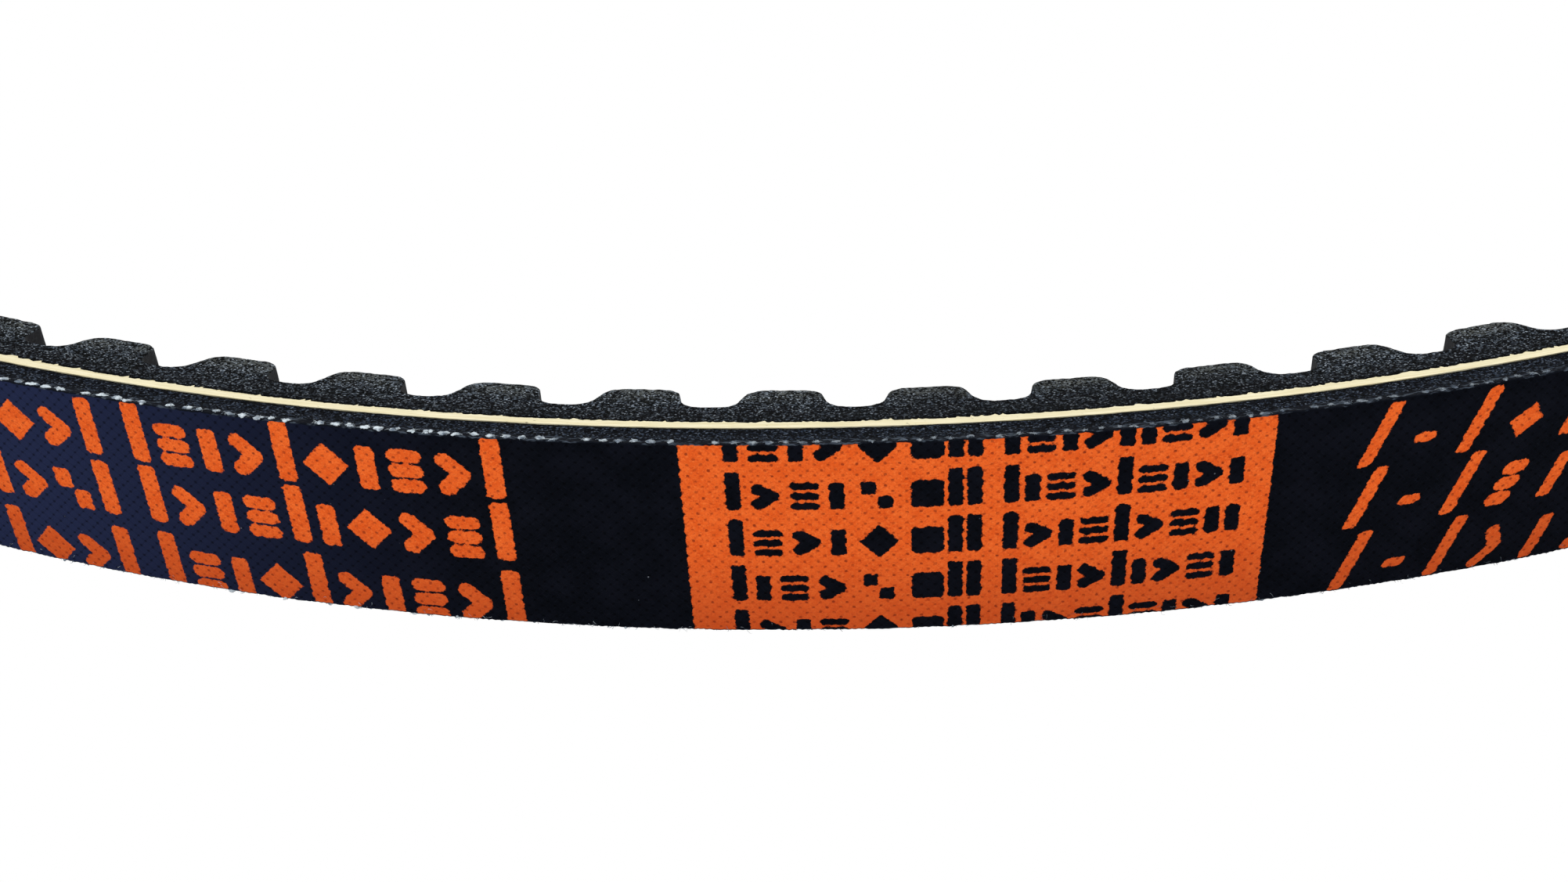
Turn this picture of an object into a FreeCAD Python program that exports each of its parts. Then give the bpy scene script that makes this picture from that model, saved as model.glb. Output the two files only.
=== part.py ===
import FreeCAD, Part
import math
import os
import Sketcher

# Raw-edge cogged V belt, one endless loop, modelled lying in the XY plane.
# Origin: centre of the loop at mid-width.  +Z: the loop axis (a sheave shaft
# would run along it).  The front span is centred on -Y and the open meeting
# lies on +Y.
#
# The loop is built as thirteen spans.  Every span holds the four layers of the
# belt as separate pieces, from the outside in: back fabric, tension rubber,
# tensile cords and cogged compression rubber.  Spans meet on the neutral line,
# which is the centre of the cords, in the middle of a notch.  Both faces of a
# meeting can be relieved above and below the cord line, so that neighbouring
# spans can turn against each other without their rubber overlapping.

doc = FreeCAD.newDocument("v_belt")
sheet = doc.addObject("Spreadsheet::Sheet", "Dimensions")

SIZES = [
    # alias, value or formula, meaning
    ("top_width", 13.0, "width of the back face, mm"),
    ("flank_half_angle", 20.0, "half of the wedge angle, degrees"),
    ("outer_radius", 149.7, "radius of the back face with the loop held round, mm"),
    ("belt_height", 9.3, "back face to cog crest, mm"),
    ("floor_depth", 6.25, "back face to notch floor, mm"),
    ("cord_depth", 3.2, "back face to the centre of the cords, mm"),
    ("cord_dia", 1.0, "diameter of one cord strand, mm"),
    ("cord_spacing", 1.32, "centre distance of the cord strands, mm"),
    ("channel_gap", 0.01, "radial room around a strand in the rubber, mm"),
    ("fabric_thick", 0.8, "thickness of the back fabric, mm"),
    ("cog_count", 112, "cogs round the whole loop"),
    ("cogs_short", 7, "cogs in a short span"),
    ("cogs_long", 14, "cogs in a long span"),
    ("floor_width", 3.0, "notch floor between the sharp flank corners, mm"),
    ("notch_half_angle", 11.8, "slope of a notch side off the radial, degrees"),
    ("root_fillet", 1.3, "fillet between notch floor and notch side, mm"),
    ("crest_round", 1.1, "rounding of the cog corners, mm"),
    ("relief_major", 11.6, "end relief where the loop bends most, degrees"),
    ("relief_minor", 8.3, "end relief where the loop bends less, degrees"),
    ("relief_open", 0.0, "end relief at the open meeting, degrees"),
    ("nose_gap", 0.01, "room left at the nose of each end, mm"),
    ("cord_end_gap", 0.105, "setback of the cord ends, mm"),
    ("cut_margin", 1.0, "overrun of the cutting profiles, mm"),
    ("fabric_radius", "=outer_radius - fabric_thick", "inside of the fabric, mm"),
    ("cord_radius", "=outer_radius - cord_depth", "cord line, mm"),
    ("floor_radius", "=outer_radius - floor_depth", "notch floor, mm"),
    ("crest_radius", "=outer_radius - belt_height", "cog crests, mm"),
    ("pitch_angle", "=360 / cog_count", "turn from one cog to the next, degrees"),
    ("cord_end_angle", "=cord_end_gap / cord_radius * 180 / pi",
     "setback of the cord ends, degrees"),
    ("floor_flat", "=floor_width - 2 * root_fillet * tan((90 - notch_half_angle) / 2)",
     "notch floor between its fillets, mm"),
    ("mouth_half",
     "=floor_width / 2 + (floor_radius - crest_radius) * tan(notch_half_angle)"
     " + crest_round * tan((90 - notch_half_angle) / 2)",
     "notch centre to the end of the crest rounding, mm"),
]
for row, (alias, content, meaning) in enumerate(SIZES, start=1):
    sheet.set("A%d" % row, meaning)
    sheet.set("B%d" % row, str(content))
    sheet.setAlias("B%d" % row, alias)
doc.recompute()
size = {alias: float(sheet.get(alias)) for alias, _, _ in SIZES}

# The thirteen spans.  Start is counted in cog pitches anticlockwise from +X.
SPANS = [
    # name, start, cogs alias, relief alias at the start, relief alias at the end
    ("front", 77, "cogs_long", "relief_minor", "relief_minor"),
    ("right_1", 91, "cogs_short", "relief_minor", "relief_major"),
    ("right_2", 98, "cogs_short", "relief_major", "relief_minor"),
    ("right_3", 105, "cogs_long", "relief_minor", "relief_minor"),
    ("right_4", 7, "cogs_short", "relief_minor", "relief_major"),
    ("right_5", 14, "cogs_short", "relief_major", "relief_minor"),
    ("right_6", 21, "cogs_short", "relief_minor", "relief_open"),
    ("left_1", 70, "cogs_short", "relief_major", "relief_minor"),
    ("left_2", 63, "cogs_short", "relief_minor", "relief_major"),
    ("left_3", 49, "cogs_long", "relief_minor", "relief_minor"),
    ("left_4", 42, "cogs_short", "relief_major", "relief_minor"),
    ("left_5", 35, "cogs_short", "relief_minor", "relief_major"),
    ("left_6", 28, "cogs_short", "relief_open", "relief_minor"),
]

STRANDS = range(-4, 5)      # strand places across the belt, in cord spacings

# Sketcher numbering
START, END, CENTRE = 1, 2, 3
X_AXIS = -1
ORIGIN = (-1, 1)

Vector = FreeCAD.Vector
Constraint = Sketcher.Constraint
UP = Vector(0, 0, 1)


# ---- sketch helpers ----

def new_sketch(body, name, role):
    sketch = body.newObject("Sketcher::SketchObject", name)
    plane = next(item for item in body.Origin.OriginFeatures if item.Role == role)
    sketch.AttachmentSupport = [(plane, "")]
    sketch.MapMode = "FlatFace"
    return sketch


def add_line(sketch, start, end):
    return sketch.addGeometry(Part.LineSegment(start, end), False)


def add_arc(sketch, centre, radius, *angles):
    """Anticlockwise arc from the smaller angle to the larger, in radians."""
    circle = Part.Circle(centre, UP, radius)
    return sketch.addGeometry(Part.ArcOfCircle(circle, *sorted(angles)), False)


def drive(sketch, name, expression, *constraint):
    """Add a dimension and bind it to the spreadsheet."""
    index = sketch.addConstraint(Constraint(*constraint))
    sketch.renameConstraint(index, name)
    sketch.setExpression("Constraints." + name, expression)


def drive_place(sketch, name, expression, kind, point, distance, side=1):
    """Drive the distance of a point from the origin; side -1 is the negative side."""
    ends = ORIGIN + point if side > 0 else point + ORIGIN
    drive(sketch, name, expression, kind, *ends, distance)


# ---- feature helpers ----

def new_body(label, start, setback=""):
    """Body turned to its start; setback is an expression added to the angle."""
    body = doc.addObject("PartDesign::Body", "Body_" + label)
    body.Label = label
    turn = FreeCAD.Rotation(UP, start * size["pitch_angle"])
    body.Placement = FreeCAD.Placement(Vector(0, 0, 0), turn)
    body.setExpression("Placement.Rotation.Angle",
                       "%d * Dimensions.pitch_angle%s" % (start, setback))
    return body


def finish_cut(body, cut, base):
    """Make the cut the tip of the body and make sure that it took material off."""
    body.Tip = cut
    doc.recompute()
    if not cut.Shape.Volume < base.Shape.Volume - 1e-3:
        raise RuntimeError("%s %s removed nothing" % (body.Label, cut.Name))
    return cut


def cut_groove(body, name, sketch, base):
    """Full turn of a sketch round the loop axis, taken off the body."""
    groove = body.newObject("PartDesign::Groove", name)
    groove.Profile = sketch
    groove.ReferenceAxis = (sketch, ["V_Axis"])
    groove.Angle = 360.0
    sketch.Visibility = False
    return finish_cut(body, groove, base)


def span_angle(cogs):
    return "Dimensions.%s * Dimensions.pitch_angle" % cogs


# ---- layer of a span ----

def end_corner(radius, relief, turn, side):
    """Corner of an end face at a radius; side +1 is the start face, -1 the end face."""
    slope = math.tan(math.radians(size[relief]))
    inset = abs(radius - size["cord_radius"]) * slope + size["nose_gap"]
    x, y = math.sqrt(radius ** 2 - inset ** 2), side * inset
    return Vector(x * math.cos(turn) - y * math.sin(turn),
                  x * math.sin(turn) + y * math.cos(turn), 0)


def plan_sketch(body, outer, inner, span):
    """Outline of one layer of one span, seen along the loop axis.

    The span starts on the local X axis and runs anticlockwise.  Each end is a
    straight line that leans away from its neighbour with distance from the
    cord line.  Outer and inner are the aliases of the layer's radii.
    """
    sketch = new_sketch(body, "LayerProfile", "XY_Plane")
    _, _, cogs, near_relief, far_relief = span
    turn = math.radians(size[cogs] * size["pitch_angle"])
    near_outer = end_corner(size[outer], near_relief, 0, 1)
    near_inner = end_corner(size[inner], near_relief, 0, 1)
    far_outer = end_corner(size[outer], far_relief, turn, -1)
    far_inner = end_corner(size[inner], far_relief, turn, -1)

    def arc_between(radius, first, second):
        angles = [math.atan2(point.y, point.x) for point in (first, second)]
        return add_arc(sketch, Vector(0, 0, 0), radius, *angles)

    outer_arc = arc_between(size[outer], near_outer, far_outer)
    far_end = add_line(sketch, far_outer, far_inner)
    inner_arc = arc_between(size[inner], near_inner, far_inner)
    near_end = add_line(sketch, near_inner, near_outer)
    sketch.addConstraint([
        Constraint("Coincident", outer_arc, CENTRE, *ORIGIN),
        Constraint("Coincident", inner_arc, CENTRE, *ORIGIN),
        Constraint("Coincident", outer_arc, END, far_end, START),
        Constraint("Coincident", far_end, END, inner_arc, END),
        Constraint("Coincident", inner_arc, START, near_end, START),
        Constraint("Coincident", near_end, END, outer_arc, START),
    ])
    drive(sketch, "outer_arc", "Dimensions." + outer, "Radius", outer_arc, size[outer])
    drive(sketch, "inner_arc", "Dimensions." + inner, "Radius", inner_arc, size[inner])

    def inset_text(radius, relief):
        return ("(abs(Dimensions.%s - Dimensions.cord_radius) * tan(Dimensions.%s)"
                " + Dimensions.nose_gap)" % (radius, relief))

    for name, radius, vertex, corner in (
        ("near_outer", outer, END, near_outer),
        ("near_inner", inner, START, near_inner),
    ):
        drive_place(sketch, name, inset_text(radius, near_relief),
                    "DistanceY", (near_end, vertex), corner.y)
    for name, radius, vertex, corner in (
        ("far_outer", outer, START, far_outer),
        ("far_inner", inner, END, far_inner),
    ):
        inset = inset_text(radius, far_relief)
        angle = span_angle(cogs)
        text = "sqrt(Dimensions.%s ^ 2 - %s ^ 2) * sin(%s) - %s * cos(%s)" % (
            radius, inset, angle, inset, angle)
        drive_place(sketch, name, text, "DistanceY", (far_end, vertex), corner.y)
    return sketch


def cut_flanks(body, outer, inner, base):
    """Both conical side faces, as one groove around the loop axis."""
    sketch = new_sketch(body, "FlankProfile", "XZ_Plane")
    margin = size["cut_margin"]
    slope = math.tan(math.radians(size["flank_half_angle"]))
    half_width = size["top_width"] / 2
    outer_reach = size[outer] + margin
    inner_reach = size[inner] - margin
    outer_flank = half_width - (size["outer_radius"] - outer_reach) * slope
    inner_flank = half_width - (size["outer_radius"] - inner_reach) * slope
    edge = half_width + margin * (1 + slope)

    outer_text = "(Dimensions.%s + Dimensions.cut_margin)" % outer
    inner_text = "(Dimensions.%s - Dimensions.cut_margin)" % inner
    flank_text = ("Dimensions.top_width / 2 - (Dimensions.outer_radius - %s)"
                  " * tan(Dimensions.flank_half_angle)")
    edge_text = ("Dimensions.top_width / 2 + Dimensions.cut_margin"
                 " * (1 + tan(Dimensions.flank_half_angle))")

    for side, tag in ((1, "top"), (-1, "bottom")):
        corners = [
            Vector(outer_reach, side * outer_flank, 0),
            Vector(outer_reach, side * edge, 0),
            Vector(inner_reach, side * edge, 0),
            Vector(inner_reach, side * inner_flank, 0),
        ]
        lines = [add_line(sketch, corners[i], corners[(i + 1) % 4]) for i in range(4)]
        sketch.addConstraint([
            Constraint("Coincident", lines[i], END, lines[(i + 1) % 4], START)
            for i in range(4)
        ])
        outer_line, edge_line, inner_line, _ = lines
        sketch.addConstraint([
            Constraint("Vertical", outer_line),
            Constraint("Horizontal", edge_line),
            Constraint("Vertical", inner_line),
        ])
        drive_place(sketch, tag + "_outer", outer_text,
                    "DistanceX", (outer_line, START), outer_reach)
        drive_place(sketch, tag + "_inner", inner_text,
                    "DistanceX", (inner_line, END), inner_reach)
        for name, point, distance, text in (
            ("_edge", (edge_line, START), edge, edge_text),
            ("_flank_outer", (outer_line, START), outer_flank, flank_text % outer_text),
            ("_flank_inner", (inner_line, END), inner_flank, flank_text % inner_text),
        ):
            drive_place(sketch, tag + name, text, "DistanceY", point, distance, side)
    return cut_groove(body, "Flanks", sketch, base)


def layer(kind, outer, inner, span):
    """Body of one layer between two radii, with its flanks cut."""
    body = new_body(kind + "_" + span[0], span[1])
    sketch = plan_sketch(body, outer, inner, span)
    pad = body.newObject("PartDesign::Pad", "Layer")
    pad.Profile = sketch
    pad.SideType = "Symmetric"
    pad.setExpression("Length", "Dimensions.top_width")
    sketch.Visibility = False
    doc.recompute()
    return body, cut_flanks(body, outer, inner, pad)


# ---- strands and their channels ----

def strand_sketch(body, name, radius, radius_text):
    """A row of circles across the belt on the cord line."""
    sketch = new_sketch(body, name, "XZ_Plane")
    reach = size["cord_radius"]
    for number, place in enumerate(STRANDS, start=1):
        z = place * size["cord_spacing"]
        circle = sketch.addGeometry(Part.Circle(Vector(reach, z, 0), UP, radius), False)
        tag = "strand_%d" % number
        drive(sketch, tag + "_radius", radius_text, "Radius", circle, radius)
        drive_place(sketch, tag + "_reach", "Dimensions.cord_radius",
                    "DistanceX", (circle, CENTRE), reach)
        if place == 0:
            sketch.addConstraint(Constraint("PointOnObject", circle, CENTRE, X_AXIS))
        else:
            drive_place(sketch, tag + "_offset",
                        "%d * Dimensions.cord_spacing" % abs(place),
                        "DistanceY", (circle, CENTRE), abs(z), place)
    return sketch


def cut_channels(body, base):
    """Channels for the strands; each rubber layer takes half of their section."""
    sketch = strand_sketch(body, "ChannelProfile",
                           size["cord_dia"] / 2 + size["channel_gap"],
                           "Dimensions.cord_dia / 2 + Dimensions.channel_gap")
    return cut_groove(body, "Channels", sketch, base)


# ---- notches ----

def notch_sketch(body):
    """One notch centred on the local X axis: flat floor, filleted, with
    sloping sides that roll over on to the cog crests."""
    sketch = new_sketch(body, "NotchProfile", "XY_Plane")
    floor_x = size["floor_radius"]
    crest_x = size["crest_radius"]
    mouth_x = crest_x - size["cut_margin"]
    fillet, rounding = size["root_fillet"], size["crest_round"]
    floor_y = size["floor_flat"] / 2
    mouth_y = size["mouth_half"]
    slope = math.radians(size["notch_half_angle"])
    sweep = math.pi / 2 - slope                 # turn of each fillet and rounding

    floor = add_line(sketch, Vector(floor_x, -floor_y, 0), Vector(floor_x, floor_y, 0))
    sides = []
    for side in (1, -1):
        fillet_centre = Vector(floor_x - fillet, side * floor_y, 0)
        crest_centre = Vector(crest_x + rounding, side * mouth_y, 0)
        # unit normal of the notch side, pointing out of the notch
        outward = Vector(math.sin(slope), side * math.cos(slope), 0)
        root = add_arc(sketch, fillet_centre, fillet, 0, side * sweep)
        wall = add_line(sketch, fillet_centre + outward * fillet,
                        crest_centre - outward * rounding)
        crest = add_arc(sketch, crest_centre, rounding, math.pi, math.pi + side * sweep)
        lip = add_line(sketch, Vector(crest_x, side * mouth_y, 0),
                       Vector(mouth_x, side * mouth_y, 0))
        sides.append((side, root, wall, crest, lip))
    mouth = add_line(sketch, Vector(mouth_x, mouth_y, 0), Vector(mouth_x, -mouth_y, 0))

    for side, root, wall, crest, lip in sides:
        tag = "plus" if side > 0 else "minus"
        # arcs run anticlockwise, so their ends swap from side to side
        flat_end, wall_end = (START, END) if side > 0 else (END, START)
        sketch.addConstraint([
            Constraint("Tangent", floor, wall_end, root, flat_end),
            Constraint("Tangent", root, wall_end, wall, START),
            Constraint("Tangent", wall, END, crest, wall_end),
            Constraint("Coincident", crest, flat_end, lip, START),
            Constraint("Horizontal", lip),
            Constraint("Coincident", lip, END, mouth, flat_end),
        ])
        drive(sketch, tag + "_fillet", "Dimensions.root_fillet", "Radius", root, fillet)
        drive(sketch, tag + "_crest", "Dimensions.crest_round", "Radius", crest, rounding)
        drive_place(sketch, tag + "_crest_centre",
                    "Dimensions.crest_radius + Dimensions.crest_round",
                    "DistanceX", (crest, CENTRE), crest_x + rounding)
        sketch.addConstraint(Constraint("Horizontal", crest, CENTRE, lip, START))
    drive_place(sketch, "floor_line", "Dimensions.floor_radius",
                "DistanceX", (floor, START), floor_x)
    sketch.addConstraint(Constraint("Symmetric", floor, START, floor, END, X_AXIS))
    drive(sketch, "floor_flat", "Dimensions.floor_flat",
          "DistanceY", floor, START, floor, END, 2 * floor_y)
    drive_place(sketch, "mouth_plus", "Dimensions.mouth_half",
                "DistanceY", (mouth, START), mouth_y)
    drive_place(sketch, "mouth_minus", "Dimensions.mouth_half",
                "DistanceY", (mouth, END), mouth_y, -1)
    drive_place(sketch, "mouth_line", "Dimensions.crest_radius - Dimensions.cut_margin",
                "DistanceX", (mouth, START), mouth_x)
    sketch.addConstraint(Constraint("Vertical", mouth))
    return sketch


def cut_notches(body, cogs, base):
    """Notches at every pitch, with half a notch at each end of the span."""
    sketch = notch_sketch(body)
    pocket = body.newObject("PartDesign::Pocket", "Notch")
    pocket.Profile = sketch
    pocket.SideType = "Symmetric"
    pocket.Type = "Length"
    pocket.setExpression("Length", "Dimensions.top_width + 2 * Dimensions.cut_margin")
    sketch.Visibility = False
    doc.recompute()
    pattern = body.newObject("PartDesign::PolarPattern", "Notches")
    pattern.Originals = [pocket]
    pattern.Axis = (sketch, ["N_Axis"])
    pattern.Mode = "Extent"
    pattern.setExpression("Angle", span_angle(cogs))
    pattern.setExpression("Occurrences", "Dimensions.%s + 1" % cogs)
    return finish_cut(body, pattern, base)


# ---- the four pieces of a span ----

def back_fabric(span):
    """Woven cover on the back of the belt."""
    body, _ = layer("back_fabric", "outer_radius", "fabric_radius", span)
    return body


def tension_rubber(span):
    """Rubber between the fabric and the cord line."""
    body, flanks = layer("tension_rubber", "fabric_radius", "cord_radius", span)
    cut_channels(body, flanks)
    return body


def tensile_cords(span):
    """Nine cord strands side by side, the outer two cut flush with the flanks."""
    name, start, cogs, _, _ = span
    body = new_body("tensile_cords_" + name, start, " + Dimensions.cord_end_angle")
    sketch = strand_sketch(body, "StrandProfile", size["cord_dia"] / 2,
                           "Dimensions.cord_dia / 2")
    strands = body.newObject("PartDesign::Revolution", "Strands")
    strands.Profile = sketch
    strands.ReferenceAxis = (sketch, ["V_Axis"])
    strands.setExpression("Angle", span_angle(cogs) + " - 2 * Dimensions.cord_end_angle")
    sketch.Visibility = False
    doc.recompute()
    # the strands have to sweep anticlockwise, towards local +Y
    if strands.Shape.isNull() or strands.Shape.BoundBox.YMin < -1.0:
        strands.Reversed = not strands.Reversed
        doc.recompute()
    cut_flanks(body, "fabric_radius", "crest_radius", strands)
    return body


def cogged_rubber(span):
    """Compression rubber with the moulded cogs."""
    body, flanks = layer("cogged_rubber", "cord_radius", "crest_radius", span)
    channels = cut_channels(body, flanks)
    cut_notches(body, span[2], channels)
    return body


PIECES = (back_fabric, tension_rubber, tensile_cords, cogged_rubber)
bodies = [build(span) for span in SPANS for build in PIECES]
doc.recompute()

for obj in doc.Objects:
    bad = [state for state in obj.State if state in ("Invalid", "Error")]
    if bad:
        raise RuntimeError("%s (%s) is %s" % (obj.Label, obj.TypeId, bad))

for body in bodies:
    if body.Shape.isNull() or not body.Shape.isValid():
        raise RuntimeError(body.Label + " has no valid shape")
    count = len(body.Shape.Solids)
    wanted = len(STRANDS) if body.Label.startswith("tensile_cords") else 1
    if count != wanted:
        raise RuntimeError("%s has %d solids, not %d" % (body.Label, count, wanted))

os.makedirs("parts", exist_ok=True)
for body in bodies:
    body.Shape.exportStep("parts/" + body.Label + ".step")
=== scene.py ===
"""A cogged V-belt: a closed loop of rubber with a printed fabric back.

The loop lies flat round the Z axis, with its smooth back face outwards and its
cogs pointing at the axis.  Its front is at -Y, its right side at +X.  The CAD
spans bend the loop, so each layer is built as a chain of arcs; an arc within
one span rides that span.  Sizes are in mm unless a comment says otherwise.

Belt coordinates, stored as the attribute "belt": arc length from the front
along the back face, width (z), depth under the back face.
"""

from math import atan2, ceil, cos, degrees, floor, pi, radians, sin, sqrt, tan
from typing import NamedTuple

import bmesh
import bpy
import numpy as np
from mathutils import Matrix, Vector


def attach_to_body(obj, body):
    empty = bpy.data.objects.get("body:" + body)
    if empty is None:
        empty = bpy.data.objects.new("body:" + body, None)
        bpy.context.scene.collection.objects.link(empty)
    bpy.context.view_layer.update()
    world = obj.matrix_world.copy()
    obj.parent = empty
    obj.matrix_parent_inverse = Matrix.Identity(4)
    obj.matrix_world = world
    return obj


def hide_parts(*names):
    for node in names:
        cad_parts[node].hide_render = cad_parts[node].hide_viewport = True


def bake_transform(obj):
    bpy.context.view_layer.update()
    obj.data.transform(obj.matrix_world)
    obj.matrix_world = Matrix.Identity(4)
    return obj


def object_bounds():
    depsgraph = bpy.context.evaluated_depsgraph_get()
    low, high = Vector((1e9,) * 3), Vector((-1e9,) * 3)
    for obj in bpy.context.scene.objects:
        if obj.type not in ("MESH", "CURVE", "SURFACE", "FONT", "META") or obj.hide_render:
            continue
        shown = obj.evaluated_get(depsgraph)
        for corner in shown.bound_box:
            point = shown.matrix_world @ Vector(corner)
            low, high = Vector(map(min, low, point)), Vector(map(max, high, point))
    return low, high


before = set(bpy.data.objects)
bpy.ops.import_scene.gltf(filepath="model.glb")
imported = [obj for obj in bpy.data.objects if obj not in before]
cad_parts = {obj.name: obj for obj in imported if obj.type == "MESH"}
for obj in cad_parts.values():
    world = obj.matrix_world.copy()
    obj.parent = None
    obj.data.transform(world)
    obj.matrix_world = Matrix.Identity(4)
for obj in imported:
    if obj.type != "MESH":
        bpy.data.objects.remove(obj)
cad_lo, cad_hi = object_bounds()

# ---------------------------------------------------------------- sizes
MM = 0.001                            # metres in a mm
BACK_R = cad_hi.x / MM                # radius of the back face
WIDTH = (cad_hi.z - cad_lo.z) / MM    # width of the back face
HALF = WIDTH / 2
CIRCUMFERENCE = 2 * pi * BACK_R
FLANK_SLOPE = tan(radians(20.0))
FRONT = radians(270.0)

# depths under the back face
FABRIC = 0.8
CORD_DEPTH = 3.2
GUM_TOP = CORD_DEPTH - 0.5
GUM_LOW = CORD_DEPTH + 0.5
NOTCH_FLOOR = 6.25
CREST = 9.3

CORD_R = BACK_R - CORD_DEPTH
CORD_SPACING = 1.32
WHOLE_CORDS_PER_SIDE = 3              # beside the middle one; a cut one lies beyond them
COGS = 112
COG_PITCH = 2 * pi / COGS
YARN = CIRCUMFERENCE / 1280 / sqrt(2)      # width of a yarn of the fabric
PRINT_PERIOD = CIRCUMFERENCE / 6

# mesh detail as (fine, coarse); steps run along the belt
COVER_STEP = (0.105, 0.34)
COVER_ROW = (0.105, 0.36)
WEAVE_RELIEF = (0.028, 0.021)
TENSION_STEP = (0.13, 0.34)
TENSION_ROWS = (16, 6)
CORD_STEP = (0.085, 0.4)
CUT_CORD_ROWS = (12, 5)
COG_STEP = (0.13, 0.42)
COG_FLANK_ROWS = (34, 10)
COG_INNER_ROWS = (22, 9)


def half_width(depth):
    """Half width of the section at a depth under the back face."""
    return HALF - depth * FLANK_SLOPE


# ---------------------------------------------------------------- noise
def lattice_value(ix, iy, iz, seed):
    """Repeatable random value in -1..1 for each lattice point."""
    h = (ix.astype(np.int64) * 374761393 + iy.astype(np.int64) * 668265263
         + iz.astype(np.int64) * 2147483647 + seed * 974711) & 0xFFFFFFFF
    h = ((h ^ (h >> 13)) * 1274126177) & 0xFFFFFFFF
    h = (h ^ (h >> 16)) & 0xFFFFFFFF
    h = (h * 2246822519) & 0xFFFFFFFF
    h = (h ^ (h >> 13)) & 0xFFFFFFFF
    return h.astype(np.float64) / 4294967295.0 * 2 - 1


def value_noise(x, y, z, seed):
    x, y, z = np.broadcast_arrays(*(np.asarray(v, float) for v in (x, y, z)))
    x0, y0, z0 = np.floor(x), np.floor(y), np.floor(z)
    fx, fy, fz = (f * f * (3 - 2 * f) for f in (x - x0, y - y0, z - z0))
    out = 0.0
    for dx in (0, 1):
        for dy in (0, 1):
            for dz in (0, 1):
                weight = (fx if dx else 1 - fx) * (fy if dy else 1 - fy) * (fz if dz else 1 - fz)
                out = out + weight * lattice_value(x0 + dx, y0 + dy, z0 + dz, seed)
    return out


def fractal_noise(x, y, z, seed):
    """Three octaves of value noise."""
    total, amplitude, frequency = 0.0, 1.0, 1.0
    for octave in range(3):
        total = total + amplitude * value_noise(
            x * frequency, y * frequency, z * frequency, seed + 17 * octave)
        amplitude *= 0.5
        frequency *= 2.03
    return total / 1.75


def smooth(t):
    t = np.clip(t, 0, 1)
    return t * t * (3 - 2 * t)


# ---------------------------------------------------------------- weave
def weave(s, z):
    """Height 0..1 of a bias-laid plain weave at arc length s and width z."""
    a = (s + z) / sqrt(2) / YARN + 0.05 * value_noise(s / 3.1, z / 2.3, 0, seed=5)
    b = (s - z) / sqrt(2) / YARN + 0.05 * value_noise(s / 2.7, z / 2.9, 0, seed=6)
    cell_a, cell_b = np.floor(a), np.floor(b)
    off_a, off_b = a - cell_a - 0.5, b - cell_b - 0.5
    a_over = ((cell_a + cell_b) % 2) < 0.5
    round_a = np.sqrt(np.clip(1 - (1.75 * off_a) ** 2, 0, 1))
    round_b = np.sqrt(np.clip(1 - (1.75 * off_b) ** 2, 0, 1))
    top = np.where(a_over, round_a * (0.55 + 0.45 * np.cos(pi * off_b)),
                   round_b * (0.55 + 0.45 * np.cos(pi * off_a)))
    under = np.where(a_over, round_b, round_a) * 0.30
    return np.maximum(top, under)


# ---------------------------------------------------------------- print
# The print is held as signed distances in mm, negative inside a shape.
FAR = 9.0               # distance given where no mark is near
MARK_REACH = 1.6        # distances are worked out this far round a mark

# Every row of print is a run of plain marks, given by one sign each; the
# numbers are widths in strokes.
MARK_WIDTH = {
    "|": 1.0,   # tall bar
    "i": 1.0,   # short bar
    ">": 1.9,   # angle
    "=": 1.9,   # stacked dashes
    "*": 2.2,   # diamond
    "%": 2.0,   # two blocks
    "-": 1.6,   # dash
    "#": 2.1,   # solid block
}


class Mark(NamedTuple):
    sign: str
    s0: float
    s1: float
    z0: float
    z1: float
    stroke: float
    lean: float


def box_field(s, z, s0, s1, z0, z1, corner):
    """Bar with soft corners."""
    u = np.abs(s - (s0 + s1) / 2) - (s1 - s0) / 2 + corner
    v = np.abs(z - (z0 + z1) / 2) - (z1 - z0) / 2 + corner
    outside = np.hypot(np.maximum(u, 0), np.maximum(v, 0))
    return np.minimum(np.maximum(u, v), 0) + outside - corner


def line_field(s, z, points, half):
    """Bent stroke with round ends."""
    out = np.full(np.shape(s), FAR)
    for (sa, za), (sb, zb) in zip(points[:-1], points[1:]):
        ds, dz = sb - sa, zb - za
        t = np.clip(((s - sa) * ds + (z - za) * dz) / (ds * ds + dz * dz), 0, 1)
        out = np.minimum(out, np.hypot(s - sa - t * ds, z - za - t * dz) - half)
    return out


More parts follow.
